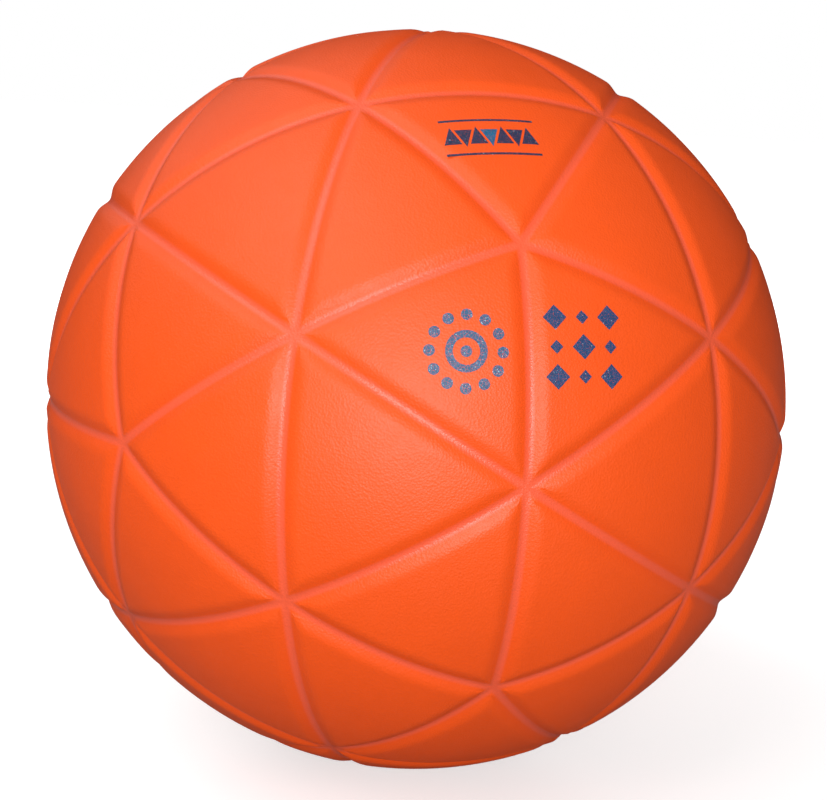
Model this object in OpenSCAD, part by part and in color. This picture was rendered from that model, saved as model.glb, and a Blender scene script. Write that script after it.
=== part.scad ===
/* [Ball] */
// Outside diameter of the inflated ball
ball_d = 162; // [150:1:190]

/* [Cover grooves] */
// Width of a groove from shoulder to shoulder
groove_w = 7; // [4:0.1:8]
// Depth of a groove at its middle
groove_deep = 1; // [0.5:0.05:1.4]
// Share of the half width taken by the soft shoulder
shoulder_width_share = 0.35; // [0.3:0.05:0.6]
// Share of the depth taken by the soft shoulder
shoulder_depth_share = 0.25; // [0.1:0.05:0.3]

/* [Layers] */
// Thickness of the moulded outer skin
skin_t = 2; // [1.8:0.1:3]
// Thickness of the sponge rubber cushion
sponge_t = 3; // [1.5:0.1:5]
// Thickness of the rubber carcass skin
carcass_t = 0.6; // [0.4:0.1:1.5]
// Thickness of the wound nylon thread layer
winding_t = 0.9; // [0.5:0.1:1.6]
// Thickness of the butyl bladder wall
bladder_t = 1; // [0.7:0.1:2]
// Cement film between one layer and the next
film_t = 0.1; // [0.05:0.01:0.2]

/* [Valve body] */
// Diameter of the valve body's neck and stem
neck_d = 10; // [9:0.1:13]
// How far the neck's face lies below the ball's surface
face_drop = 0.7; // [0.5:0.1:1.5]
// Length of the stem that hangs inside the bladder
stem_len = 9; // [7:0.5:14]
// Diameter of the flange bonded inside the bladder
flange_d = 22; // [18:0.5:28]
// Thickness of that flange
flange_t = 1.2; // [0.8:0.1:2]
// Width of the bevel round the neck's outer rim
rim_bevel = 0.4; // [0.2:0.05:0.8]
// Gap between the neck and the layers that it passes through
neck_gap = 0.1; // [0.05:0.01:0.2]

/* [Valve patch] */
// Diameter of the reinforcing patch round the valve
patch_d = 40; // [32:1:60]
// Thickness of that patch
patch_t = 0.8; // [0.5:0.1:1.5]

/* [Valve core] */
// Diameter of the core's head
head_d = 6.6; // [6:0.1:7.5]
// Thickness of the core's head
head_t = 1.2; // [0.8:0.1:2]
// How far the head lies below the neck's face
head_drop = 0.3; // [0.2:0.05:0.8]
// Diameter of the core's shank
shank_d = 4.6; // [4:0.1:5.4]
// Length of the core below its head
shank_len = 15; // [12:0.5:19]
// Radial gap between the core and the valve body
core_gap = 0.05; // [0.02:0.01:0.09]
// Diameter of the needle channel
needle_d = 2; // [1.6:0.1:2.4]
// Length of the needle channel
needle_len = 12; // [9:0.5:14]
// Diameter of the funnel at the channel's mouth
funnel_d = 3.2; // [2.8:0.1:3.8]
// Depth of that funnel
funnel_deep = 0.8; // [0.4:0.1:1.2]
// Width of the air slit below the channel
slit_w = 0.2; // [0.15:0.05:0.4]

/* [Hidden] */

// Overrun of every cutter past the surface that it cuts
over = 0.5;
// Facets of the layers' spheres, of the sphere inside the skin and of small round
// parts, and mesh rows across a panel of the cover
ball_fn = 120;
lining_fn = 240;
small_fn = 48;
panel_rows = 10;

// Radii of the layers, from the outside in
ball_r = ball_d/2;
skin_in_r = ball_r - skin_t;
sponge_r = skin_in_r - film_t;
sponge_in_r = sponge_r - sponge_t;
carcass_r = sponge_in_r - film_t;
carcass_in_r = carcass_r - carcass_t;
winding_r = carcass_in_r - film_t;
winding_in_r = winding_r - winding_t;
bladder_r = winding_in_r - film_t;
bladder_in_r = bladder_r - bladder_t;
patch_r = bladder_in_r - film_t;
patch_in_r = patch_r - patch_t;
flange_r = patch_in_r - film_t;
flange_in_r = flange_r - flange_t;

// Heights of the valve's parts along the valve axis, from the ball's centre
neck_top = ball_r - face_drop;
stem_end = flange_in_r - stem_len;
head_top = neck_top - head_drop;
head_foot = head_top - head_t;
shank_end = head_foot - shank_len;
needle_end = head_top - needle_len;

// Directions of the twelve points where five grooves meet. They are the corners
// of an icosahedron that has the middle of one face on the Z axis: four rings of
// three, at these angles from the axis.
near_tilt = acos(sqrt((5 + 2*sqrt(5))/15));
far_tilt = acos(sqrt((5 - 2*sqrt(5))/15));
ring_tilts = [near_tilt, far_tilt, 180 - far_tilt, 180 - near_tilt];
ring_turns = [60, 0, 60, 0];

function direction(tilt, turn) = [sin(tilt)*cos(turn), sin(tilt)*sin(turn), cos(tilt)];
function unit(v) = v/norm(v);

five_points = [for (ring = [0:3], k = [0:2]) direction(ring_tilts[ring], ring_turns[ring] + 120*k)];

// Cosine of the angle between neighbouring corners
neighbour_cos = 1/sqrt(5);

// The twenty faces between three neighbouring corners, each with its corners in
// the same turning sense seen from outside
function near(a, b) = a*b > neighbour_cos/2 && a*b < (1 + neighbour_cos)/2;
last_point = len(five_points) - 1;
faces = [for (i = [0:last_point], j = [i + 1:last_point], k = [j + 1:last_point])
    let (a = five_points[i], b = five_points[j], c = five_points[k])
    if (near(a, b) && near(b, c) && near(a, c)) cross(a, b)*c > 0 ? [a, b, c] : [a, c, b]];

// Each face is split at the middles of its edges into four panels. Six grooves
// meet at each middle.
function middle(a, b) = unit(a + b);
function quarter(f) = let (ab = middle(f[0], f[1]), bc = middle(f[1], f[2]), ca = middle(f[2], f[0]))
    [[f[0], ab, ca], [f[1], bc, ab], [f[2], ca, bc], [ab, bc, ca]];
panels = [for (f = faces, panel = quarter(f)) panel];

// Section of a groove, from its middle to its rim: steep wall, then soft shoulder.
// Row 0 of a panel's mesh is the groove's middle, row 1 the foot of its shoulder
// and row 2 its rim.
row_insets = [0, groove_w/2*(1 - shoulder_width_share), groove_w/2];
row_depths = [groove_deep, groove_deep*shoulder_depth_share, 0];
rim_row = 2;

function row_depth(row) = row_depths[min(row, rim_row)];
function altitude(tip, a, b) = ball_r*norm(cross(a - tip, b - tip))/norm(b - a);

// Share of a corner in a point of the panel, from the point's row off the far edge.
// Rows next to the edges keep the groove's real width, and the rows between them
// split what is left evenly.
function edge_share(row, high) = row_insets[row]/high;
function shares(rows, highs) =
    let (
        edge = [for (i = [0:2]) rows[i] <= rim_row ? edge_share(rows[i], highs[i]) : 0],
        inner = [for (i = [0:2]) rows[i] <= rim_row ? 0 : rows[i] - rim_row/2],
        taken = edge*[1, 1, 1],
        split = inner*[1, 1, 1]
    )
    [for (i = [0:2]) rows[i] <= rim_row ? edge[i] : (1 - taken)*inner[i]/split];

// A point on an edge is placed by that edge's own length, so that the panels on
// both of its sides share the point
function edge_high(panel, corner) =
    ball_r*norm(panel[(corner + 1) % 3] - panel[(corner + 2) % 3])*sin(60);
function point_highs(panel, highs, rows) =
    let (far = [for (i = [0:2]) if (rows[i] == 0) i])
    len(far) == 0 ? highs : [for (i = [0:2]) edge_high(panel, far[0])];

function panel_point(panel, highs, rows) =
    unit(shares(rows, point_highs(panel, highs, rows))*panel)*(ball_r - row_depth(min(rows)));

// Points of one panel, row by row from its third corner's far edge
function panel_points(panel) =
    let (highs = [
        altitude(panel[0], panel[1], panel[2]),
        altitude(panel[1], panel[2], panel[0]),
        altitude(panel[2], panel[0], panel[1]),
    ])
    [for (k = [0:panel_rows], j = [0:panel_rows - k])
        panel_point(panel, highs, [panel_rows - k - j, j, k])];

panel_size = (panel_rows + 1)*(panel_rows + 2)/2;
function place(k, j) = k*(2*panel_rows + 3 - k)/2 + j;
panel_faces = concat(
    [for (k = [0:panel_rows - 1], j = [0:panel_rows - 1 - k])
        [place(k + 1, j), place(k, j + 1), place(k, j)]],
    [for (k = [0:panel_rows - 2], j = [0:panel_rows - 2 - k])
        [place(k + 1, j), place(k + 1, j + 1), place(k, j + 1)]]
);

// Solid ball with the groove pattern, the middle of one face at its front
module grooved_ball() {
    points = [for (panel = panels) each panel_points(panel)];
    facets = [for (i = [0:len(panels) - 1], face = panel_faces)
        [for (corner = face) corner + i*panel_size]];
    rotate([90, 0, 0]) polyhedron(points, facets);
}

// Round bar along the valve axis, between two distances from the centre
module bar(r, from, to) {
    rotate([-90, 0, 0])
        translate([0, 0, from])
            cylinder(r = r, h = to - from, $fn = small_fn);
}

// Spherical shell between two radii, open round the valve's neck
module layer(out_r, in_r) {
    difference() {
        sphere(r = out_r, $fn = ball_fn);
        sphere(r = in_r, $fn = ball_fn);
        bar(neck_d/2 + neck_gap, in_r - neck_d, out_r + over);
    }
}

// Round piece of a spherical shell, centred on the valve axis
module cap(out_r, in_r, rim) {
    intersection() {
        difference() {
            sphere(r = out_r, $fn = ball_fn);
            sphere(r = in_r, $fn = ball_fn);
        }
        bar(rim, in_r - rim, out_r + over);
    }
}

// Moulded outer skin with its net of grooves
module cover_skin() {
    color("#FF6628")
        difference() {
            grooved_ball();
            sphere(r = skin_in_r, $fn = lining_fn);
            bar(neck_d/2 + neck_gap, skin_in_r - neck_d, ball_r + over);
        }
}

// Sponge rubber cushion under the skin
module sponge_layer() {
    color("#F2B48C") layer(sponge_r, sponge_in_r);
}

// Rubber skin cured round the wound thread
module carcass_skin() {
    color("#3A3A3C") layer(carcass_r, carcass_in_r);
}

// Nylon thread wound in every direction round the bladder
module winding() {
    color("#E8E4D6") layer(winding_r, winding_in_r);
}

// Butyl bladder that holds the air
module bladder() {
    color("#1E1E20") layer(bladder_r, bladder_in_r);
}

// Reinforcing patch bonded inside the bladder round the valve
module valve_patch() {
    color("#2C2C30")
        difference() {
            cap(patch_r, patch_in_r, patch_d/2);
            bar(neck_d/2 + neck_gap, patch_in_r - neck_d, patch_r + over);
        }
}

// Rubber valve body: neck through the layers, flange and stem inside
module valve_body() {
    color("#28282B")
        difference() {
            union() {
                bar(neck_d/2, stem_end, neck_top - rim_bevel);
                rotate([-90, 0, 0])
                    translate([0, 0, neck_top - rim_bevel])
                        cylinder(r1 = neck_d/2, r2 = neck_d/2 - rim_bevel, h = rim_bevel, $fn = small_fn);
                cap(flange_r, flange_in_r, flange_d/2);
            }
            bar(shank_d/2 + core_gap, stem_end - over, neck_top);
            bar(head_d/2 + core_gap, head_foot, neck_top + over);
        }
}

// Removable valve core with the needle channel and its air slit
module valve_core() {
    color("#4A4A4E")
        difference() {
            union() {
                bar(shank_d/2, shank_end, head_foot);
                bar(head_d/2, head_foot, head_top);
            }
            bar(needle_d/2, needle_end, head_top + over);
            rotate([-90, 0, 0])
                translate([0, 0, head_top - funnel_deep])
                    cylinder(r1 = needle_d/2, r2 = funnel_d/2, h = funnel_deep, $fn = small_fn);
            translate([-needle_d/2, shank_end - over, -slit_w/2])
                cube([needle_d, needle_end - shank_end + over, slit_w]);
        }
}

cover_skin();
sponge_layer();
carcass_skin();
winding();
bladder();
valve_patch();
valve_body();
valve_core();
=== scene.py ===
import math

import bpy
import numpy as np
from mathutils import Matrix, Quaternion, Vector


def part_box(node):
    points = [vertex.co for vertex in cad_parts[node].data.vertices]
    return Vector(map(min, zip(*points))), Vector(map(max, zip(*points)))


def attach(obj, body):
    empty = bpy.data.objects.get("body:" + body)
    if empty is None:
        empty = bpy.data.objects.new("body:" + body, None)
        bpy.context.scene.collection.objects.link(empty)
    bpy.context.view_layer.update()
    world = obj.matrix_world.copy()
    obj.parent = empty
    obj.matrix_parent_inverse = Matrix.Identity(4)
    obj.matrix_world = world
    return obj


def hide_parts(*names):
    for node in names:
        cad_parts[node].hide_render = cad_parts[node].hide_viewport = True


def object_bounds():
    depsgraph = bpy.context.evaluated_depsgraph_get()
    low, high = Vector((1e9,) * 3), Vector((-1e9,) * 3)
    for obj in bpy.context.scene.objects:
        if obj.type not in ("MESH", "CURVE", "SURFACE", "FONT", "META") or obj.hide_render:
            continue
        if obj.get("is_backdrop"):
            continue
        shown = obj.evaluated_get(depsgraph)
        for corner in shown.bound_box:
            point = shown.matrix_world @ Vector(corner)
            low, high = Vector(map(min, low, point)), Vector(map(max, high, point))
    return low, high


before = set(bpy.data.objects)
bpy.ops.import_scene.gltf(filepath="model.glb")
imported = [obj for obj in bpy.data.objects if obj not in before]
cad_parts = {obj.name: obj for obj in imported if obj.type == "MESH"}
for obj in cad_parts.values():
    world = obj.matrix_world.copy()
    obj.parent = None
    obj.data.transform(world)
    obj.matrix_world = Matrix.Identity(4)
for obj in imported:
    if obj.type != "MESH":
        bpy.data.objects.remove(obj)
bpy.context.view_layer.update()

bl_info = {
    "name": "Moulded dodgeball",
    "version": (1, 0, 0),
    "blender": (4, 5, 0),
    "location": "View3D > Sidebar > Dodgeball",
    "description": "Models the grooved cover, the prints and the valve of a soft moulded ball",
    "category": "Object",
}

MM = 0.001
NODE_SPACING = (240, -220)
BODY_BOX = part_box("valve_body")
CORE_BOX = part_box("valve_core")


def amount(name, description, default, **kind):
    """A number, which may have a unit or a subtype"""
    return bpy.props.FloatProperty(name=name, description=description, default=default, **kind)


def length(name, description, metres):
    """A size in metres, shown with its unit"""
    return amount(name, description, metres, precision=5, unit="LENGTH")


def angle(name, description, degrees):
    """An angle, given in degrees"""
    return amount(name, description, math.radians(degrees), unit="ROTATION")


def share(name, description, default):
    """A share from 0 to 1, shown as a slider"""
    return amount(name, description, default, precision=3, subtype="FACTOR", min=0, max=1)


def power(name, description, watts):
    """The power of a lamp in watts"""
    return amount(name, description, watts, unit="POWER")


def count(name, description, default):
    """A whole number"""
    return bpy.props.IntProperty(name=name, description=description, default=default)


def colour(name, description, default):
    """A colour as linear red, green and blue"""
    return bpy.props.FloatVectorProperty(
        name=name, description=description, default=default, size=3, subtype="COLOR",
        min=0, max=1
    )


class DodgeballCover(bpy.types.PropertyGroup):
    """Sizes and colours of the moulded cover"""

    radius: length("Ball radius", "Outside radius of the inflated ball", 81 * MM)
    skin: length("Skin", "Thickness of the outer skin", 2 * MM)
    groove_depth: length("Groove depth", "Depth of a groove at its middle", 1 * MM)
    groove_reach: length("Groove reach", "Reach of a groove's wall past its soft bottom", 2.6 * MM)
    groove_round: length("Groove round", "Softness of the groove's bottom", 1.3 * MM)
    groove_sweep: amount("Groove sweep", "Power of the wall's curve, 1 is straight", 2)
    row_step: length("First row", "Width of the mesh row beside a groove's middle", 0.22 * MM)
    row_growth: amount("Row growth", "How many times as wide each next row is", 1.13)
    rows: count("Rows", "Mesh rows from a groove's middle past its outer edge", 10)
    cuts: count("Cuts", "Cuts along each panel edge", 20)
    grain_size: length("Grain size", "Width of one cell of the moulded grain", 0.45 * MM)
    grain_relief: length("Grain relief", "Height of the moulded grain", 0.05 * MM)
    rubber: colour("Rubber", "Colour of the orange rubber", (0.95, 0.0915, 0.0037))
    paler: amount("Paler", "How many times as pale the rubber's clouds are", 1.06)
    cloud_size: length("Cloud size", "Width of those clouds", 9 * MM)
    # Painted highlight: this paler, whiter colour along each groove's bottom stands in for the
    # lamp's reflection there
    valley_highlight: colour("Valley", "Paler line along a groove's bottom", (0.96, 0.118, 0.045))
    valley_start: share("Valley start", "Share of the groove's depth where the line starts", 0.66)
    valley_full: share("Valley full", "Share of the groove's depth where it is full", 0.92)
    valley_gloss: share("Valley gloss", "How much less rough that line is", 0.12)
    rough_low: share("Least roughness", "Roughness of the skin's shinier patches", 0.45)
    rough_high: share("Most roughness", "Roughness of the skin's duller patches", 0.51)
    gloss_size: length("Gloss size", "Width of those patches", 4 * MM)


class DodgeballPrints(bpy.types.PropertyGroup):
    """Places, sizes and inks of the printed ornaments"""

    film_top: length("Film height", "Height of the ink above the cover", 0.04 * MM)
    film: length("Film", "Thickness of the ink film", 0.06 * MM)
    band_turn: angle("Band turn", "Place of the triangle band round the ball", 18.3)
    band_rise: angle("Band rise", "Place of the triangle band above the middle", 48.4)
    band_tilt: angle("Band tilt", "Slope of the triangle band", 4)
    band_length: length("Band length", "Length of the triangle band", 17.5 * MM)
    band_height: length("Band height", "Height of one triangle of the band", 4.4 * MM)
    band_triangles: count("Band triangles", "Triangles in the band", 7)
    band_overlap: amount("Band overlap", "Width of a triangle as a share of its step", 1.35)
    band_shift: share("Band shift", "Shift to a triangle's base, as a share of its height", 1 / 12)
    rule_share: amount("Rule share", "Length of the two lines as a share of the band's", 1.06)
    rule_height: length("Rule height", "Height of each of the two lines", 0.5 * MM)
    ring_turn: angle("Ring turn", "Place of the dot ring round the ball", 12.3)
    ring_rise: angle("Ring rise", "Place of the dot ring above the middle", 17.2)
    ring_radius: length("Ring radius", "From the ring's middle to the dots' middles", 6.6 * MM)
    ring_dots: count("Ring dots", "Dots in the ring", 12)
    dot_radius: length("Dot radius", "Radius of a dot", 1.05 * MM)
    hoop_share: share("Hoop share", "Radius of the hoop as a share of the ring's", 0.47)
    hoop_width: length("Hoop width", "Width of the hoop", 1.35 * MM)
    lattice_turn: angle("Lattice turn", "Place of the lattice round the ball", 28.6)
    lattice_rise: angle("Lattice rise", "Place of the lattice above the middle", 17.9)
    lattice_tilt: angle("Lattice tilt", "Slope of the lattice", -1)
    diamond_width: length("Diamond width", "Width of a diamond of the lattice", 4.6 * MM)
    diamond_pitch: length("Diamond pitch", "From one diamond to the next", 5.4 * MM)
    small_share: share("Small share", "Width of a small diamond as a share of a large one", 0.55)
    band_ink: colour("Band ink", "Ink of the triangle band", (0.016, 0.030, 0.075))
    accent_ink: colour("Accent ink", "Ink of the band's middle triangle", (0.004, 0.10, 0.21))
    ring_ink: colour("Ring ink", "Ink of the dot ring", (0.032, 0.095, 0.19))
    lattice_ink: colour("Lattice ink", "Ink of the lattice", (0.017, 0.052, 0.14))
    paler: amount("Paler", "How many times as pale the ink's clouds are", 1.5)
    cloud_size: length("Cloud size", "Width of those clouds", 0.8 * MM)
    rough_low: share("Least roughness", "Roughness of the ink's shinier patches", 0.42)
    rough_high: share("Most roughness", "Roughness of the ink's duller patches", 0.58)
    gloss_size: length("Gloss size", "Width of those patches", 1 * MM)
    # Painted glints: this pale colour stands in for the lamp's glints on the ink; the specks are
    # painted, not a metallic pigment
    painted_glint_colour: colour("Glint", "Light specks of the metallic ink", (0.36, 0.60, 0.72))
    glint_size: length("Glint size", "Width of a light speck", 0.3 * MM)
    glint_start: share("Glint start", "Height of the noise where specks would begin", 0.72)
    glint_edge: share("Glint edge", "Softness of a speck's edge", 0.08)
    glint_drop: share("Glint drop", "How far a full share of specks lowers that height", 0.3)
    many_glints: share("Many glints", "Share of specks in the dot ring", 0.25)
    few_glints: share("Few glints", "Share of specks in the other prints", 0.1)
    wear_size: length("Wear size", "Width of the small cells whose edges are worn bare", 0.6 * MM)
    much_wear: share("Much wear", "Share of a cell that is worn in the dot ring", 0.03)
    little_wear: share("Little wear", "Share of a cell that is worn in the other prints", 0.012)


class DodgeballValve(bpy.types.PropertyGroup):
    """Sizes and colours of the valve"""

    neck_radius: length("Neck radius", "Radius of the valve body's neck and stem", 5 * MM)
    neck_gap: length("Neck gap", "Gap between the neck and the cover", 0.1 * MM)
    lip: length("Lip", "Rounding of the cover's edge round the valve", 0.8 * MM)
    rim_round: length("Rim round", "Rounding of the neck's outer rim", 0.4 * MM)
    flange_outer: length("Flange outer", "Curve radius of the flange's outer side", 72.1 * MM)
    flange_thick: length("Flange thickness", "Thickness of the flange", 1.2 * MM)
    flange_edge: length("Flange edge", "Bevel of the flange's rim", 0.36 * MM)
    shank_radius: length("Shank radius", "Radius of the core's shank", 2.3 * MM)
    head_thick: length("Head thickness", "Thickness of the core's head", 1.2 * MM)
    core_gap: length("Core gap", "Radial gap between the core and the body", 0.05 * MM)
    channel_radius: length("Channel radius", "Radius of the needle channel", 1 * MM)
    channel_length: length("Channel length", "Length of that channel and its funnel", 12 * MM)
    funnel_radius: length("Funnel radius", "Radius of the funnel at the channel's mouth", 1.6 * MM)
    funnel_depth: length("Funnel depth", "Depth of that funnel", 0.8 * MM)
    edge_round: length("Edge round", "Rounding of the core's edges", 0.2 * MM)
    slit: length("Slit", "Width of the air slit below the channel", 0.2 * MM)
    segments: count("Segments", "Steps round the valve", 64)
    body_rubber: colour("Body rubber", "Colour of the valve body", (0.022, 0.022, 0.025))
    body_paler: amount("Body paler", "How many times as pale the clouds in it are", 1.5)
    core_rubber: colour("Core rubber", "Colour of the valve core", (0.062, 0.062, 0.070))
    core_paler: amount("Core paler", "How many times as pale the clouds in it are", 1.4)


class DodgeballLayers(bpy.types.PropertyGroup):
    """Colours and textures of the layers under the cover"""

    sponge: colour("Sponge", "Colour of the sponge", (0.86, 0.46, 0.27))
    sponge_dark: colour("Dark sponge", "Darker clouds in the sponge", (0.78, 0.36, 0.19))
    sponge_clouds: length("Sponge clouds", "Width of those clouds", 3 * MM)
    # Painted shade: the darker colour inside a pore stands in for the shade in it
    pore: colour("Pore", "Colour inside a pore", (0.45, 0.17, 0.08))
    pore_size: length("Pore size", "From one pore to the next", 0.8 * MM)
    pore_depth: length("Pore depth", "Depth of a pore", 0.15 * MM)
    thread: colour("Thread", "Colour of the nylon thread", (0.80, 0.77, 0.68))
    latex: colour("Latex", "Colour of the latex between the threads", (0.42, 0.38, 0.28))
    thread_pitch: length("Thread pitch", "From one thread to the next", 0.69115 * MM)
    thread_relief: length("Thread relief", "Height of a thread", 0.2 * MM)
    carcass: colour("Carcass", "Colour of the carcass rubber", (0.042, 0.042, 0.046))
    carcass_pale: colour("Pale carcass", "Paler clouds in it", (0.065, 0.065, 0.070))
    butyl: colour("Butyl", "Colour of the butyl rubber", (0.012, 0.012, 0.014))
    butyl_pale: colour("Pale butyl", "Paler clouds in it", (0.022, 0.022, 0.025))


class DodgeballStudio(bpy.types.PropertyGroup):
    """Camera, lamps and floor"""

    distance: amount("Distance", "Camera to ball centre, in ball radii", 4.5)
    azimuth: angle("Azimuth", "Camera's place round the ball", 6.05)
    elevation: angle("Elevation", "Camera's place above the middle", 11.02)
    roll: angle("Roll", "Camera's roll", 2.9)
    lens: amount("Lens", "Focal length on a 36 mm sensor", 70.68, unit="CAMERA")
    shift_x: amount("Shift X", "Camera shift to the side", -0.00283)
    shift_y: amount("Shift Y", "Camera shift upwards", -0.00133)
    key_power: power("Key power", "Power of the main lamp", 5.9)
    key_size: length("Key size", "Width of the main lamp", 0.42)
    key_turn: angle("Key turn", "Main lamp's place round the ball", 6.2)
    key_rise: angle("Key rise", "Main lamp's place above the middle", 8)
    key_away: length("Key away", "Main lamp's distance from the ball's middle", 0.9)
    fill_power: power("Fill power", "Power of the fill lamp", 8.4)
    fill_size: length("Fill size", "Width of the fill lamp", 1.2)
    fill_turn: angle("Fill turn", "Fill lamp's place round the ball", -42)
    fill_rise: angle("Fill rise", "Fill lamp's place above the middle", 52)
    fill_away: length("Fill away", "Fill lamp's distance from the ball's middle", 1.4)
    sheen_power: power("Sheen power", "Power of the lamp behind, which only gloss shows", 2.2)
    sheen_size: length("Sheen size", "Width of the lamp behind", 1.2)
    sheen_turn: angle("Sheen turn", "Place round the ball of the lamp behind", -120)
    sheen_rise: angle("Sheen rise", "Place above the middle of the lamp behind", 45)
    sheen_away: length("Sheen away", "Distance of the lamp behind", 1.2)
    back_power: power("Back power", "Power of the lamp that lights the ball's back", 3.2)
    back_size: length("Back size", "Width of the back lamp", 0.3)
    back_turn: angle("Back turn", "Back lamp's place round the ball", 186)
    back_rise: angle("Back rise", "Back lamp's place above the middle", 5)
    back_away: length("Back away", "Back lamp's distance from the ball's middle", 0.9)
    room_light: amount("Room light", "Strength of the light from the surroundings", 0.3)
    mirror_share: share("Mirror share", "Share of the white surroundings that gloss shows", 0.01)
    floor_size: length("Floor size", "Width of the floor", 12)
    floor_tone: share("Floor tone", "Paleness of the floor as the camera sees it", 0.8)
    floor_bounce: share("Floor bounce", "Paleness of the floor as the ball sees it", 0.22)
    floor_lift: share("Floor lift", "How much the floor is whitened beside the ball", 0.57)
    shadow_reach: length("Shadow reach", "Ball's middle to where the floor is all white", 0.7)


def deselect():
    """Leave edit mode and select nothing"""
    if bpy.context.object and bpy.context.object.mode != "OBJECT":
        bpy.ops.object.mode_set(mode="OBJECT")
    bpy.ops.object.select_all(action="DESELECT")


def pick(piece):
    """Make one piece the only selected object and the active one"""
    deselect()
    piece.select_set(True)
    bpy.context.view_layer.objects.active = piece


def take(name):
    """Name the primitive that was just added and settle its place in its mesh"""
    piece = bpy.context.object
    piece.name = name
    piece.data.name = name
    bpy.ops.object.transform_apply(location=True, rotation=True, scale=True)
    return piece


def join(pieces, name):
    """Join several pieces into one, and only name a piece that is alone"""
    pick(pieces[0])
    for piece in pieces:
        piece.select_set(True)
    if len(pieces) > 1:
        bpy.ops.object.join()
    return take(name)


def carry(piece, matrix):
    """Turn and move a piece and settle its place in its mesh"""
    pick(piece)
    piece.matrix_world = matrix.to_4x4()
    bpy.ops.object.transform_apply(location=True, rotation=True, scale=True)


def modify(piece, kind, **settings):
    """Add a modifier with its settings and apply it"""
    pick(piece)
    modifier = piece.modifiers.new(kind.lower(), kind)
    for setting, value in settings.items():
        setattr(modifier, setting, value)
    bpy.ops.object.modifier_apply(modifier=modifier.name)


def edit_all(kind="FACE"):
    """Enter edit mode with all of the active piece selected"""
    bpy.ops.object.mode_set(mode="EDIT")
    bpy.ops.mesh.select_mode(type=kind)
    bpy.ops.mesh.select_all(action="SELECT")


def press_round(piece, radius):
    """Carry every point of a piece straight out or in to a sphere about the ball's centre"""
    modify(piece, "CAST", cast_type="SPHERE", factor=1, use_radius_as_size=False, size=radius)


def cut_with(piece, cutter):
    """Cut a piece with a closed cutter and delete the cutter"""
    modify(piece, "BOOLEAN", object=cutter, operation="DIFFERENCE", solver="EXACT")
    bpy.data.objects.remove(cutter)


def select_edges(piece, wanted):
    """Select the edges for which wanted(start, end) holds, and stay in edit mode"""
    pick(piece)
    bpy.ops.object.mode_set(mode="EDIT")
    bpy.ops.mesh.select_mode(type="EDGE")
    bpy.ops.mesh.select_all(action="DESELECT")
    bpy.ops.object.mode_set(mode="OBJECT")
    corners = piece.data.vertices
    for edge in piece.data.edges:
        start, end = edge.vertices
        edge.select = wanted(corners[start].co, corners[end].co)
    bpy.ops.object.mode_set(mode="EDIT")


def smooth(piece, sharp_degrees=35):
    """Shade a piece smooth, with its sharp edges kept"""
    pick(piece)
    bpy.ops.object.shade_smooth_by_angle(angle=math.radians(sharp_degrees))


def points_of(piece):
    """The places of a mesh's points as an array"""
    places = np.empty(len(piece.data.vertices) * 3, np.float32)
    piece.data.vertices.foreach_get("co", places)
    return places.reshape(-1, 3).astype(float)


def quarter(middle_x, middle_y, radius, start, end, steps=5):
    """Points of a rounding as (radius, height) pairs, between two angles in degrees"""
    turns = [math.radians(start + (end - start) * step / steps) for step in range(steps + 1)]
    return [(middle_x + radius * math.cos(t), middle_y + radius * math.sin(t)) for t in turns]


def turned(name, outline, segments, closed=False):
    """Turn an outline of (radius, height) pairs about the valve axis. A closed outline
    makes a ring, and an open one a plug with flat ends."""
    radius, height = outline[0]
    deselect()
    bpy.ops.mesh.primitive_circle_add(
        vertices=segments, radius=radius, location=(0, 0, height),
        fill_type="NOTHING" if closed else "NGON",
    )
    piece = take(name)
    edit_all("EDGE" if closed else "FACE")
    rest = outline[1:] + outline[:1] if closed else outline[1:]
    for next_radius, next_height in rest:
        rise = (0, 0, next_height - height)
        bpy.ops.mesh.extrude_region_move(TRANSFORM_OT_translate={"value": rise})
        growth = next_radius / radius
        bpy.ops.transform.resize(value=(growth, growth, 1), center_override=(0, 0, next_height))
        radius, height = next_radius, next_height
    bpy.ops.mesh.select_all(action="SELECT")
    bpy.ops.mesh.remove_doubles(threshold=0.001 * MM)
    bpy.ops.mesh.normals_make_consistent(inside=False)
    bpy.ops.object.mode_set(mode="OBJECT")
    carry(piece, Matrix.Rotation(-math.pi / 2, 3, "X"))
    return piece


def add(tree, kind, column, row, **values):
    """Add a shader node at a column and row, and set its inputs and options by name"""
    made = tree.nodes.new("ShaderNode" + kind)
    made.location = (NODE_SPACING[0] * column, NODE_SPACING[1] * row)
    for name, value in values.items():
        socket = made.inputs.get(name.replace("_", " "))
        if socket is None:
            setattr(made, name, value)
        else:
            socket.default_value = value
    return made


def wire(source, output, target, entry):
    """Link one node's output to another's input"""
    source.id_data.links.new(source.outputs[output], target.inputs[entry])


def placed(tree, place, kind, column, row, **values):
    """Add a node that reads the piece's own coordinates as its vector"""
    made = add(tree, kind, column, row, **values)
    wire(place, "Object", made, "Vector")
    return made


def emboss(tree, source, output, relief, shader):
    """Bump the shader's surface, with one node's output as its height"""
    bump = add(tree, "Bump", 4, 2, Strength=1.0, Distance=relief)
    wire(source, output, bump, "Height")
    wire(bump, "Normal", shader, "Normal")


def blank(name):
    """A new material with its tree, its shader and the object coordinates"""
    material = bpy.data.materials.new(name)
    material.use_nodes = True
    tree = material.node_tree
    tree.nodes.clear()
    shader = add(tree, "BsdfPrincipled", 5, 0)
    output = add(tree, "OutputMaterial", 6, 0)
    wire(shader, "BSDF", output, "Surface")
    place = add(tree, "TexCoord", 0, 0)
    return material, tree, shader, place


def paler(tone, times):
    """A colour that is a number of times as pale, up to white"""
    return [min(1, part * times) for part in tone]


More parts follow.
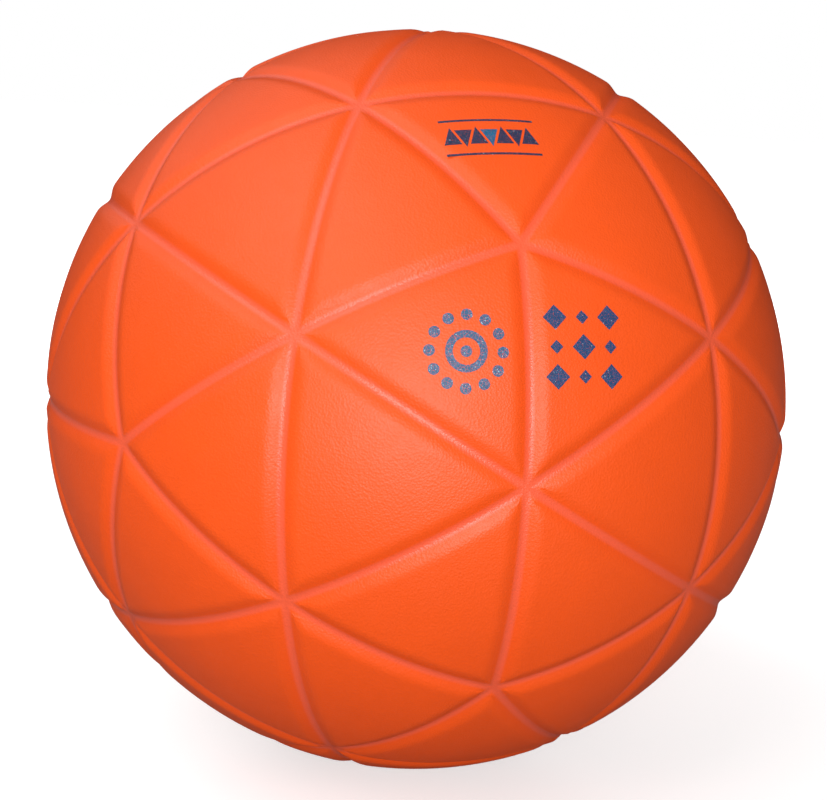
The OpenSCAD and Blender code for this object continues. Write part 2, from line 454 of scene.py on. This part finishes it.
def tint(tree, place, first, second, cell):
    """Two colours mixed by soft clouds of a given size"""
    clouds = placed(tree, place, "TexNoise", 1, 0, Scale=1 / cell, Detail=4.0, Roughness=0.55)
    spread = add(tree, "MapRange", 2, 0, From_Min=0.25, From_Max=0.75)
    wire(clouds, "Fac", spread, "Value")
    mix = add(tree, "MixRGB", 3, 0, Color1=(*first, 1), Color2=(*second, 1))
    wire(spread, "Result", mix, "Fac")
    return mix


def gloss(tree, place, low, high, cell):
    """Roughness that wanders between two values, as the node's Result"""
    clouds = placed(tree, place, "TexNoise", 1, 4, Scale=1 / cell, Detail=3.0)
    spread = add(tree, "MapRange", 2, 4, From_Min=0.3, From_Max=0.7, To_Min=low, To_Max=high)
    wire(clouds, "Fac", spread, "Value")
    return spread


def grain(tree, place, shader, cell, relief, fineness=2.5, fine_share=0.5):
    """Emboss a fine moulded leather grain: rounded cells with finer noise on them"""
    cells = placed(tree, place, "TexVoronoi", 1, 2, Scale=1 / cell)
    fine = placed(tree, place, "TexNoise", 1, 3, Scale=fineness / cell, Detail=2.0)
    both = add(tree, "Math", 2, 2, operation="MULTIPLY_ADD")
    both.inputs[1].default_value = fine_share
    wire(fine, "Fac", both, 0)
    wire(cells, "Distance", both, 2)
    emboss(tree, both, "Value", relief, shader)


def cover_rubber(sizes):
    """Orange moulded rubber with a satin skin, a fine grain and shinier valleys, whose paler
    colour is a painted highlight
    """
    material, tree, shader, place = blank("cover_rubber")
    body = tint(tree, place, sizes.rubber, paler(sizes.rubber, sizes.paler), sizes.cloud_size)
    depth = add(tree, "Attribute", 2, 1, attribute_name="groove")
    line = add(
        tree, "MapRange", 3, 1, interpolation_type="SMOOTHSTEP",
        From_Min=sizes.valley_start, From_Max=sizes.valley_full,
    )
    wire(depth, "Fac", line, "Value")
    # Painted highlight: the paler valley colour stands in for reflected light, and the same mask
    # also makes the valleys less rough
    mix = add(tree, "MixRGB", 4, 0, Color2=(*sizes.valley_highlight, 1))
    wire(line, "Result", mix, "Fac")
    wire(body, "Color", mix, "Color1")
    wire(mix, "Color", shader, "Base Color")
    rough = gloss(tree, place, sizes.rough_low, sizes.rough_high, sizes.gloss_size)
    polished = add(tree, "Math", 4, 4, operation="MULTIPLY_ADD")
    polished.inputs[1].default_value = -sizes.valley_gloss
    wire(line, "Result", polished, 0)
    wire(rough, "Result", polished, 2)
    wire(polished, "Value", shader, "Roughness")
    grain(tree, place, shader, sizes.grain_size, sizes.grain_relief)
    return material


def print_ink(name, ink, glint_share, wear, context):
    """Screen ink with light specks painted in as glints of the lamp, which is worn through along
    small cells' edges
    """
    prints = context.scene.dodgeball_prints
    cover = context.scene.dodgeball_cover
    material, tree, shader, place = blank(name)
    body = tint(tree, place, ink, paler(ink, prints.paler), prints.cloud_size)
    # Painted glints: pale specks mixed into the ink colour stand in for the lamp's reflection
    specks = placed(tree, place, "TexNoise", 1, 1, Scale=1 / prints.glint_size, Detail=1.0)
    start = prints.glint_start - prints.glint_drop * glint_share
    painted_glint_mask = add(tree, "MapRange", 2, 1, From_Min=start, From_Max=start + prints.glint_edge)
    wire(specks, "Fac", painted_glint_mask, "Value")
    painted_glints = add(tree, "MixRGB", 4, 0, Color2=(*prints.painted_glint_colour, 1))
    wire(painted_glint_mask, "Result", painted_glints, "Fac")
    wire(body, "Color", painted_glints, "Color1")
    scale = 1 / prints.wear_size
    worn = placed(tree, place, "TexVoronoi", 1, 5, feature="DISTANCE_TO_EDGE", Scale=scale)
    gaps = add(tree, "MapRange", 2, 5, From_Max=wear)
    wire(worn, "Distance", gaps, "Value")
    mix = add(tree, "MixRGB", 5, 1, Color1=(*cover.rubber, 1))
    wire(gaps, "Result", mix, "Fac")
    wire(painted_glints, "Color", mix, "Color2")
    wire(mix, "Color", shader, "Base Color")
    rough = gloss(tree, place, prints.rough_low, prints.rough_high, prints.gloss_size)
    wire(rough, "Result", shader, "Roughness")
    grain(tree, place, shader, cover.grain_size, cover.grain_relief)
    return material


def plain_rubber(name, first, second, cell, rough, grain_size, relief, wander=0.06):
    """Moulded or calendered rubber with soft clouds of tone and a fine grain"""
    material, tree, shader, place = blank(name)
    shader.inputs["Specular IOR Level"].default_value = 0.4
    body = tint(tree, place, first, second, cell)
    wire(body, "Color", shader, "Base Color")
    roughness = gloss(tree, place, rough - wander, rough + wander, cell)
    wire(roughness, "Result", shader, "Roughness")
    grain(tree, place, shader, grain_size, relief)
    return material


def sponge_rubber(layers):
    """Closed-cell sponge with open pores on its skin, painted darker inside as shade"""
    material, tree, shader, place = blank("sponge_rubber")
    body = tint(tree, place, layers.sponge, layers.sponge_dark, layers.sponge_clouds)
    pores = placed(tree, place, "TexVoronoi", 1, 1, Scale=1 / layers.pore_size)
    hollow = add(tree, "MapRange", 2, 1, From_Min=0.12, From_Max=0.35)
    wire(pores, "Distance", hollow, "Value")
    # Painted shade: the pores' insides get the darker pore colour as their shade
    mix = add(tree, "MixRGB", 4, 0, Color1=(*layers.pore, 1))
    wire(hollow, "Result", mix, "Fac")
    wire(body, "Color", mix, "Color2")
    wire(mix, "Color", shader, "Base Color")
    emboss(tree, hollow, "Result", layers.pore_depth, shader)
    shader.inputs["Roughness"].default_value = 0.85
    return material


def nylon_thread(layers, leans=(0, 62, 121), twist=35):
    """Fine thread wound over and over in several directions, set in latex"""
    material, tree, shader, place = blank("nylon_thread")
    wave_length = math.pi / 10  # of a wave texture at scale 1
    scale = wave_length / layers.thread_pitch
    heights = []
    for row, lean in enumerate(leans):
        turns = [math.radians(part) for part in (lean, 2 * lean, twist)]
        turn = placed(tree, place, "Mapping", 1, row, vector_type="POINT", Rotation=turns)
        strands = add(tree, "TexWave", 2, row, wave_type="BANDS", Scale=scale, Distortion=1.5)
        wire(turn, "Vector", strands, "Vector")
        heights.append(strands)
    lower = add(tree, "Math", 3, 0, operation="MAXIMUM")
    wire(heights[0], "Fac", lower, 0)
    wire(heights[1], "Fac", lower, 1)
    upper = add(tree, "Math", 3, 1, operation="MAXIMUM")
    wire(lower, "Value", upper, 0)
    wire(heights[2], "Fac", upper, 1)
    mix = add(tree, "MixRGB", 4, 0, Color1=(*layers.latex, 1), Color2=(*layers.thread, 1))
    wire(upper, "Value", mix, "Fac")
    wire(mix, "Color", shader, "Base Color")
    emboss(tree, upper, "Value", layers.thread_relief, shader)
    shader.inputs["Roughness"].default_value = 0.6
    return material


def face_the_front(ball):
    """Turn the net so that the panel between three six-groove corners looks along -Y,
    with one of its corners towards +X"""
    mesh = ball.data
    meeting = [0] * len(mesh.vertices)
    for edge in mesh.edges:
        for corner in edge.vertices:
            meeting[corner] += 1
    panel = next(p for p in mesh.polygons if all(meeting[c] == 6 for c in p.vertices))
    out = panel.center.normalized()
    corner = mesh.vertices[panel.vertices[0]].co
    side = (corner - out * corner.dot(out)).normalized()
    now = Matrix((side, out.cross(side), out)).transposed()
    wanted = Matrix(((1, 0, 0), (0, 0, 1), (0, -1, 0))).transposed()
    carry(ball, wanted @ now.transposed())


def groove_lines(ball):
    """The groove net as pairs of directions, one pair for each edge between panels"""
    corners = [corner.co.normalized() for corner in ball.data.vertices]
    return [(corners[start], corners[end]) for start, end in (e.vertices for e in ball.data.edges)]


def distance_from(line, points, radius):
    """Distance over the ball's surface from each point to one groove's middle line"""
    start, end = (np.array(corner) for corner in line)
    square = np.cross(start, end)
    square /= np.linalg.norm(square)
    aside = radius * np.arcsin(np.clip(np.abs(points @ square), 0, 1))
    past_start = points @ np.cross(square, start) < 0
    past_end = points @ np.cross(end, square) < 0
    to_start = radius * np.arccos(np.clip(points @ start, -1, 1))
    to_end = radius * np.arccos(np.clip(points @ end, -1, 1))
    return np.where(past_start, to_start, np.where(past_end, to_end, aside))


def groove_weights(points, lines, sizes, blend=14, deepest=1.06):
    """Depth of the grooves at each point as a share of the deepest place, and the depth
    there as a share of one groove's. Lines that meet run softly into each other."""
    facing = points / np.linalg.norm(points, axis=1, keepdims=True)
    total = np.zeros(len(points))
    for line in lines:
        away = distance_from(line, facing, sizes.radius)
        softened = np.hypot(away, sizes.groove_round) - sizes.groove_round
        depth = np.clip(1 - softened / sizes.groove_reach, 0, 1) ** sizes.groove_sweep
        total += depth**blend
    return np.clip(total ** (1 / blend), 0, deepest) / deepest, deepest


class BuildCover(bpy.types.Operator):
    """Model the moulded cover with its net of grooves and the hole for the valve"""

    bl_idname = "dodgeball.cover"
    bl_label = "Moulded cover"

    def execute(self, context):
        sizes = context.scene.dodgeball_cover
        valve = context.scene.dodgeball_valve
        deselect()
        bpy.ops.mesh.primitive_ico_sphere_add(subdivisions=2, radius=sizes.radius)
        cover = take("cover")
        face_the_front(cover)
        lines = groove_lines(cover)
        self.add_rows(cover, sizes)
        self.split_panels(cover, sizes)
        press_round(cover, sizes.radius)
        self.press_grooves(cover, lines, sizes)
        cover = self.add_lining(cover, sizes)
        cut_with(cover, self.valve_hole(sizes, valve))
        smooth(cover)
        cover.data.materials.append(cover_rubber(sizes))
        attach(cover, "ball")
        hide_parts("cover_skin")
        return {"FINISHED"}

    def add_rows(self, cover, sizes):
        """Inset every panel row by row, close together at the groove's middle"""
        pick(cover)
        edit_all()
        for row in range(sizes.rows):
            step = sizes.row_step * sizes.row_growth**row
            bpy.ops.mesh.inset(thickness=step, use_individual=True, use_even_offset=True)
        bpy.ops.object.mode_set(mode="OBJECT")

    def split_panels(self, cover, sizes):
        """Cut every edge that runs along a groove into short pieces"""
        shortest = sizes.radius / 8
        select_edges(cover, lambda start, end: (start - end).length > shortest)
        bpy.ops.mesh.subdivide(number_cuts=sizes.cuts)
        bpy.ops.object.mode_set(mode="OBJECT")

    def press_grooves(self, cover, lines, sizes):
        """Sink the surface along the groove lines and keep the depth for the material"""
        weights, deepest = groove_weights(points_of(cover), lines, sizes)
        group = cover.vertex_groups.new(name="sunk")
        for index in np.flatnonzero(weights > 0):
            group.add([int(index)], weights[index], "REPLACE")
        shade = cover.data.attributes.new("groove", "FLOAT", "POINT")
        shade.data.foreach_set("value", weights.astype(np.float32))
        modify(
            cover, "DISPLACE", vertex_group="sunk", direction="NORMAL", mid_level=0,
            strength=-sizes.groove_depth * deepest,
        )

    def add_lining(self, cover, sizes):
        """Give the skin its inner side"""
        deselect()
        bpy.ops.mesh.primitive_ico_sphere_add(subdivisions=5, radius=sizes.radius - sizes.skin)
        lining = take("lining")
        edit_all()
        bpy.ops.mesh.flip_normals()
        bpy.ops.object.mode_set(mode="OBJECT")
        return join([cover, lining], "cover")

    def valve_hole(self, sizes, valve):
        """Cutter of the valve hole, flared so that the cover's edge is rounded"""
        bore = valve.neck_radius + valve.neck_gap
        lip_middle = bore + valve.lip
        surface = math.sqrt(sizes.radius**2 - lip_middle**2)
        below, above = sizes.radius - 3 * sizes.skin, sizes.radius + sizes.skin
        outline = [(bore, below)]
        outline += quarter(lip_middle, surface - valve.lip, valve.lip, 180, 94, steps=8)
        outline += [(lip_middle, above)]
        return turned("valve_hole", outline, valve.segments)


def direction(turn, rise):
    """Direction from the ball's middle, 0 and 0 being towards the front"""
    flat = math.cos(rise)
    return Vector((math.sin(turn) * flat, -math.cos(turn) * flat, math.sin(rise)))


def ornament(name, shapes, turn, rise, tilt, material, context):
    """Join flat shapes that lie round the origin, carry them to their place on the ball
    and press them onto it as a film of ink"""
    prints = context.scene.dodgeball_prints
    radius = context.scene.dodgeball_cover.radius
    piece = join(shapes, name)
    out = direction(turn, rise)
    side = Vector((math.cos(turn), math.sin(turn), 0))
    across = Matrix((side, out.cross(side), out)).transposed()
    spot = across.to_4x4() @ Matrix.Rotation(tilt, 4, "Z")
    carry(piece, Matrix.Translation(out * radius) @ spot)
    press_round(piece, radius + prints.film_top)
    modify(piece, "SOLIDIFY", thickness=prints.film, offset=-1)
    smooth(piece)
    piece.data.materials.append(material)
    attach(piece, "ball")
    return piece


def disc(radius, x, y, steps=24):
    """A flat dot"""
    deselect()
    bpy.ops.mesh.primitive_circle_add(
        vertices=steps, radius=radius, location=(x, y, 0), fill_type="TRIFAN"
    )
    return take("dot")


def hoop(radius, width, steps=48):
    """A flat ring, from its middle radius and its width"""
    deselect()
    bpy.ops.mesh.primitive_circle_add(vertices=steps, radius=radius - width / 2)
    piece = take("hoop")
    edit_all("EDGE")
    bpy.ops.mesh.extrude_region_move()
    growth = (radius + width / 2) / (radius - width / 2)
    bpy.ops.transform.resize(value=(growth, growth, 1), center_override=(0, 0, 0))
    bpy.ops.mesh.select_all(action="SELECT")
    bpy.ops.mesh.normals_make_consistent(inside=False)
    bpy.ops.object.mode_set(mode="OBJECT")
    return piece


def strip(width, height, cuts):
    """A flat bar or block, cut into a fine mesh so that it can follow the ball"""
    deselect()
    bpy.ops.mesh.primitive_plane_add(size=1)
    bpy.context.object.scale = (width, height, 1)
    piece = take("strip")
    edit_all()
    bpy.ops.mesh.subdivide(number_cuts=cuts)
    bpy.ops.object.mode_set(mode="OBJECT")
    return piece


def wedge(width, height, x, y, up):
    """A flat triangle that points up or down"""
    deselect()
    bpy.ops.mesh.primitive_circle_add(
        vertices=3, radius=1, location=(x, y, 0), fill_type="NGON",
        rotation=(0, 0, 0 if up else math.pi),
    )
    unit_width, unit_height = math.sqrt(3), 1.5
    bpy.context.object.scale = (width / unit_width, height / unit_height, 1)
    piece = take("wedge")
    edit_all()
    bpy.ops.mesh.subdivide(number_cuts=3)
    bpy.ops.object.mode_set(mode="OBJECT")
    return piece


class PrintBand(bpy.types.Operator):
    """Print the band of small triangles near the top"""

    bl_idname = "dodgeball.print_band"
    bl_label = "Triangle band"

    def execute(self, context):
        prints = context.scene.dodgeball_prints
        pitch = prints.band_length / prints.band_triangles
        shapes, accent = [], []
        for place in range(prints.band_triangles):
            x = (place - (prints.band_triangles - 1) / 2) * pitch
            up = place % 2 == 0
            level = prints.band_height * prints.band_shift * (-1 if up else 1)
            made = wedge(pitch * prints.band_overlap, prints.band_height, x, level, up)
            (accent if place == prints.band_triangles // 2 else shapes).append(made)
        for side in (-1, 1):
            rule = strip(prints.band_length * prints.rule_share, prints.rule_height, cuts=16)
            carry(rule, Matrix.Translation((0, side * prints.band_height, 0)))
            shapes.append(rule)
        spot = (prints.band_turn, prints.band_rise, prints.band_tilt)
        look = (prints.few_glints, prints.little_wear, context)
        ink = print_ink("band_ink", prints.band_ink, *look)
        ornament("print_band", shapes, *spot, ink, context)
        ink = print_ink("accent_ink", prints.accent_ink, *look)
        ornament("print_accent", accent, *spot, ink, context)
        return {"FINISHED"}


class PrintRing(bpy.types.Operator):
    """Print the ring of dots left of the middle groove"""

    bl_idname = "dodgeball.print_ring"
    bl_label = "Dot ring"

    def execute(self, context):
        prints = context.scene.dodgeball_prints
        shapes = [
            hoop(prints.ring_radius * prints.hoop_share, prints.hoop_width),
            disc(prints.dot_radius, 0, 0),
        ]
        for place in range(prints.ring_dots):
            turn = 2 * math.pi * place / prints.ring_dots
            x = prints.ring_radius * math.cos(turn)
            y = prints.ring_radius * math.sin(turn)
            shapes.append(disc(prints.dot_radius, x, y))
        look = (prints.many_glints, prints.much_wear, context)
        ink = print_ink("ring_ink", prints.ring_ink, *look)
        ornament("print_ring", shapes, prints.ring_turn, prints.ring_rise, 0, ink, context)
        return {"FINISHED"}


class PrintLattice(bpy.types.Operator):
    """Print the lattice of diamonds right of the middle groove"""

    bl_idname = "dodgeball.print_lattice"
    bl_label = "Diamond lattice"

    def execute(self, context):
        prints = context.scene.dodgeball_prints
        shapes = []
        for column in (-1, 0, 1):
            for row in (-1, 0, 1):
                small = (column + row) % 2 == 1
                width = prints.diamond_width * (prints.small_share if small else 1)
                side = width / math.sqrt(2)
                block = strip(side, side, cuts=3)
                middle = Vector((column, row, 0)) * prints.diamond_pitch
                carry(block, Matrix.Translation(middle) @ Matrix.Rotation(math.pi / 4, 4, "Z"))
                shapes.append(block)
        look = (prints.few_glints, prints.little_wear, context)
        ink = print_ink("lattice_ink", prints.lattice_ink, *look)
        spot = (prints.lattice_turn, prints.lattice_rise, prints.lattice_tilt)
        ornament("print_lattice", shapes, *spot, ink, context)
        return {"FINISHED"}


class BuildValveBody(bpy.types.Operator):
    """Turn the valve body: neck, bore, curved flange and stem"""

    bl_idname = "dodgeball.valve_body"
    bl_label = "Valve body"

    def execute(self, context):
        valve = context.scene.dodgeball_valve
        low, high = BODY_BOX
        neck, bore = valve.neck_radius, valve.shank_radius + valve.core_gap
        recess = CORE_BOX[1].x + valve.core_gap
        seat = CORE_BOX[1].y - valve.head_thick
        rim = valve.rim_round
        outline = [(bore, low.y), (neck - rim, low.y)]
        outline += quarter(neck - rim, low.y + rim, rim, -90, 0)
        outline += self.flange(neck, high.x, valve)
        outline += quarter(neck - rim, high.y - rim, rim, 0, 90)
        outline += quarter(recess + rim / 2, high.y - rim / 2, rim / 2, 90, 180)
        outline += [(recess, seat), (bore, seat)]
        body = turned("valve_body_turned", outline, valve.segments, closed=True)
        smooth(body)
        rubber = plain_rubber(
            "valve_rubber", valve.body_rubber, paler(valve.body_rubber, valve.body_paler),
            cell=2 * MM, rough=0.45, grain_size=0.2 * MM, relief=0.01 * MM,
        )
        body.data.materials.append(rubber)
        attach(body, "ball")
        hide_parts("valve_body")
        return {"FINISHED"}

    def flange(self, neck, outer, valve, steps=6):
        """Outline of the flange that follows the bladder's curve, out to its own radius"""
        inner = valve.flange_outer - valve.flange_thick
        edge = valve.flange_edge
        reach = [neck + (outer - edge - neck) * step / steps for step in range(steps + 1)]
        under = [(r, math.sqrt(inner**2 - r**2)) for r in reach]
        over = [(r, math.sqrt(valve.flange_outer**2 - r**2)) for r in reversed(reach)]
        foot, top = under[-1][1], over[0][1]
        under += [(outer, foot + edge), (outer, top - edge)]
        return under + over


class BuildValveCore(bpy.types.Operator):
    """Turn the valve core with its needle channel and cut its air slit"""

    bl_idname = "dodgeball.valve_core"
    bl_label = "Valve core"

    def execute(self, context):
        valve = context.scene.dodgeball_valve
        low, high = CORE_BOX
        shank, head = valve.shank_radius, high.x
        seat = high.y - valve.head_thick
        edge = valve.edge_round
        outline = quarter(shank - edge, low.y + edge, edge, -90, 0)
        outline += [(shank, seat)]
        outline += quarter(head - edge / 2, seat + edge / 2, edge / 2, -90, 0, steps=3)
        outline += quarter(head - edge, high.y - edge, edge, 0, 90)
        outline += quarter(valve.funnel_radius + edge, high.y - edge, edge, 90, 150)
        outline += [(valve.channel_radius, high.y - valve.funnel_depth)]
        outline += [(valve.channel_radius, high.y - valve.channel_length)]
        core = turned("valve_core_turned", outline, valve.segments)
        cut_with(core, self.slit(valve, low.y, high.y - valve.channel_length))
        smooth(core)
        rubber = plain_rubber(
            "core_rubber", valve.core_rubber, paler(valve.core_rubber, valve.core_paler),
            cell=1.5 * MM, rough=0.5, grain_size=0.15 * MM, relief=0.01 * MM,
        )
        core.data.materials.append(rubber)
        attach(core, "core")
        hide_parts("valve_core")
        return {"FINISHED"}

    def slit(self, valve, foot, top):
        """Thin cutter from the channel's end to the shank's end"""
        deselect()
        bpy.ops.mesh.primitive_cube_add(size=1, location=(0, (foot + top) / 2, 0))
        bpy.context.object.scale = (2 * valve.channel_radius, top - foot + valve.slit, valve.slit)
        return take("slit")


class DressLayers(bpy.types.Operator):
    """Give the layers inside the ball their rubber, sponge and thread"""

    bl_idname = "dodgeball.layers"
    bl_label = "Inner layers"

    def execute(self, context):
        layers = context.scene.dodgeball_layers
        butyl = plain_rubber(
            "butyl_rubber", layers.butyl, layers.butyl_pale,
            cell=12 * MM, rough=0.4, grain_size=1 * MM, relief=0.02 * MM,
        )
        carcass = plain_rubber(
            "carcass_rubber", layers.carcass, layers.carcass_pale,
            cell=8 * MM, rough=0.6, grain_size=1.2 * MM, relief=0.05 * MM,
        )
        finishes = {
            "sponge_layer": sponge_rubber(layers),
            "carcass_skin": carcass,
            "winding": nylon_thread(layers),
            "bladder": butyl,
            "valve_patch": butyl,
        }
        for node, finish in finishes.items():
            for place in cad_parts[node].material_slots:
                place.material = finish
        return {"FINISHED"}


class SetStage(bpy.types.Operator):
    """Set the camera, the lamps, the floor and the pale surroundings"""

    bl_idname = "dodgeball.stage"
    bl_label = "Studio"

    def execute(self, context):
        studio = context.scene.dodgeball_studio
        radius = context.scene.dodgeball_cover.radius
        self.place_camera(context, studio, radius)
        for name in ("key", "fill", "sheen", "back"):
            self.lamp(context, name, studio)
        bpy.data.objects["sheen"].visible_diffuse = False
        bpy.data.objects["back"].visible_glossy = False
        self.lay_floor(context, studio)
        self.surround(context, studio)
        context.scene.view_settings.view_transform = "Standard"
        return {"FINISHED"}

    def place_camera(self, context, studio, radius):
        """Camera at the photograph's viewing angle"""
        back = direction(studio.azimuth, studio.elevation)
        camera = bpy.data.cameras.new("camera")
        camera.lens = studio.lens
        camera.shift_x = studio.shift_x
        camera.shift_y = studio.shift_y
        camera.clip_start = 10 * MM
        holder = bpy.data.objects.new("camera", camera)
        context.scene.collection.objects.link(holder)
        holder.location = back * studio.distance * radius
        holder.rotation_mode = "QUATERNION"
        level = (-back).to_track_quat("-Z", "Y")
        holder.rotation_quaternion = level @ Quaternion((0, 0, 1), studio.roll)
        context.scene.camera = holder

    def lamp(self, context, name, studio):
        """Square soft lamp that looks at the ball's middle"""
        light = bpy.data.lights.new(name, "AREA")
        light.energy = getattr(studio, name + "_power")
        light.size = getattr(studio, name + "_size")
        holder = bpy.data.objects.new(name, light)
        context.scene.collection.objects.link(holder)
        towards = direction(getattr(studio, name + "_turn"), getattr(studio, name + "_rise"))
        holder.location = towards * getattr(studio, name + "_away")
        holder.rotation_mode = "QUATERNION"
        holder.rotation_quaternion = (-towards).to_track_quat("-Z", "Y")

    def lay_floor(self, context, studio):
        """Pale floor under the ball, white to the camera and with the ball's shadow"""
        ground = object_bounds()[0].z
        deselect()
        bpy.ops.mesh.primitive_plane_add(size=studio.floor_size, location=(0, 0, ground))
        floor = take("floor")
        material = bpy.data.materials.new("floor")
        material.use_nodes = True
        tree = material.node_tree
        tree.nodes.clear()
        path = add(tree, "LightPath", 0, 4)
        tone = add(tree, "MapRange", 1, 4, To_Min=studio.floor_bounce, To_Max=studio.floor_tone)
        wire(path, "Is Camera Ray", tone, "Value")
        matte = add(tree, "BsdfDiffuse", 2, 0)
        wire(tone, "Result", matte, "Color")
        place = add(tree, "TexCoord", -1, 3)
        away = placed(tree, place, "VectorMath", 0, 3, operation="LENGTH")
        fade = add(
            tree, "MapRange", 1, 3, interpolation_type="SMOOTHSTEP", To_Min=studio.floor_lift,
            From_Min=context.scene.dodgeball_cover.radius, From_Max=studio.shadow_reach,
        )
        wire(away, "Value", fade, "Value")
        lift = add(tree, "Emission", 2, 1, Color=(1, 1, 1, 1))
        white = add(tree, "Math", 1, 1, operation="MULTIPLY")
        wire(seen_directly(tree, studio.mirror_share), "Value", white, 0)
        wire(fade, "Result", white, 1)
        wire(white, "Value", lift, "Strength")
        both = add(tree, "AddShader", 3, 0)
        wire(matte, "BSDF", both, 0)
        wire(lift, "Emission", both, 1)
        output = add(tree, "OutputMaterial", 4, 0)
        wire(both, "Shader", output, "Surface")
        material.cycles.emission_sampling = "NONE"
        floor.data.materials.append(material)
        floor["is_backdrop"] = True

    def surround(self, context, studio):
        """White surroundings for the camera, and a soft pale light for the ball"""
        world = bpy.data.worlds.new("studio")
        world.use_nodes = True
        tree = world.node_tree
        tree.nodes.clear()
        seen = seen_directly(tree, studio.mirror_share)
        path = add(tree, "LightPath", -1, -1)
        soft = add(tree, "Math", 0, -1, operation="MULTIPLY")
        soft.inputs[1].default_value = studio.room_light
        wire(path, "Is Diffuse Ray", soft, 0)
        strength = add(tree, "Math", 1, 0, operation="MAXIMUM")
        wire(seen, "Value", strength, 0)
        wire(soft, "Value", strength, 1)
        sky = add(tree, "Background", 2, 0, Color=(1, 1, 1, 1))
        wire(strength, "Value", sky, "Strength")
        output = add(tree, "OutputWorld", 3, 0)
        wire(sky, "Background", output, "Surface")
        world.cycles.sampling_method = "NONE"
        context.scene.world = world


def seen_directly(tree, mirror_share):
    """1 for rays from the camera or through glass, a share of it for reflections, and 0
    for the light on the ball"""
    path = add(tree, "LightPath", -2, 1)
    mirror = add(tree, "Math", -1, 1, operation="MULTIPLY")
    mirror.inputs[1].default_value = mirror_share
    wire(path, "Is Glossy Ray", mirror, 0)
    first = add(tree, "Math", 0, 1, operation="MAXIMUM")
    wire(path, "Is Camera Ray", first, 0)
    wire(mirror, "Value", first, 1)
    second = add(tree, "Math", 0, 2, operation="MAXIMUM")
    wire(first, "Value", second, 0)
    wire(path, "Is Transmission Ray", second, 1)
    return second


class DodgeballPanel(bpy.types.Panel):
    """Lists the steps in their order"""

    bl_idname = "VIEW3D_PT_dodgeball"
    bl_label = "Moulded dodgeball"
    bl_space_type = "VIEW_3D"
    bl_region_type = "UI"
    bl_category = "Dodgeball"

    def draw(self, context):
        for step in STEPS:
            self.layout.operator(step.bl_idname, text=step.bl_label)
        for group in GROUPS:
            box = self.layout.box()
            for size in GROUPS[group].__annotations__:
                box.prop(getattr(context.scene, group), size)


STEPS = (
    BuildCover, PrintBand, PrintRing, PrintLattice,
    BuildValveBody, BuildValveCore, DressLayers, SetStage,
)
GROUPS = {
    "dodgeball_cover": DodgeballCover,
    "dodgeball_prints": DodgeballPrints,
    "dodgeball_valve": DodgeballValve,
    "dodgeball_layers": DodgeballLayers,
    "dodgeball_studio": DodgeballStudio,
}
CLASSES = (*GROUPS.values(), *STEPS, DodgeballPanel)


def register():
    for each in CLASSES:
        bpy.utils.register_class(each)
    for name, group in GROUPS.items():
        setattr(bpy.types.Scene, name, bpy.props.PointerProperty(type=group))


def unregister():
    for name in GROUPS:
        delattr(bpy.types.Scene, name)
    for each in reversed(CLASSES):
        bpy.utils.unregister_class(each)


def main():
    register()
    for step in STEPS:
        family, name = step.bl_idname.split(".")
        getattr(getattr(bpy.ops, family), name)()


if __name__ == "__main__":
    main()
